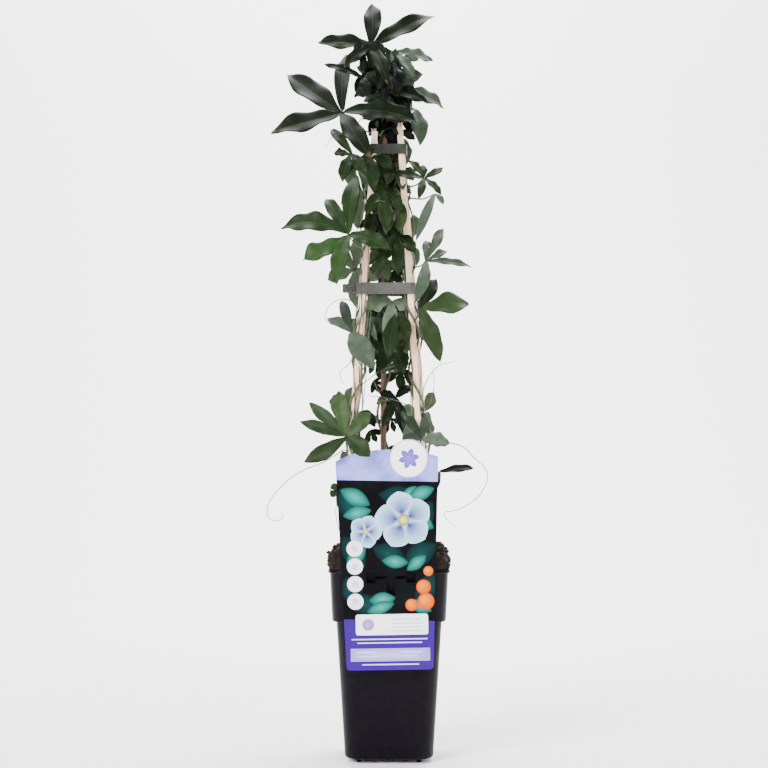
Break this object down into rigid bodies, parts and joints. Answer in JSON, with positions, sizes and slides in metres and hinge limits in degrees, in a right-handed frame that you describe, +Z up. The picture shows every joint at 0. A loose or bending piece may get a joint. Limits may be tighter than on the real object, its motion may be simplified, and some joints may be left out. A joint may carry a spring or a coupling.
{
  "type": "potted climbing passion flower plant",
  "caption": "Young climbing passion flower in a deep square nursery pot, trained up a pyramid of canes, with a hang label.",
  "frame": {"origin": "middle of the underside of the pot, on the surface it stands on", "axes": "+Z up, the plant's front with the hang label faces -Y, +X to the viewer's right"},
  "size_m": [0.2017, 0.1542, 0.7022],
  "materials": {
    "pot": "satin",
    "soil": "matte",
    "cane": "matte",
    "bamboo": "satin",
    "strap": "satin",
    "band": "satin",
    "label": "satin",
    "foliage": "satin"
  },
  "bodies": {
    "root": {"pot": "pot", "soil": "soil", "cane_front_left": "cane", "cane_front_right": "cane", "cane_back_left": "cane", "cane_back_right": "cane", "cane_centre": "bamboo", "strap_middle": "strap", "band_top": "band", "label": "label", "vine_centre": "foliage", "vine_left": "foliage", "vine_right": "foliage", "vine_back_left": "foliage", "vine_back_right": "foliage"}
  },
  "joints": []
}
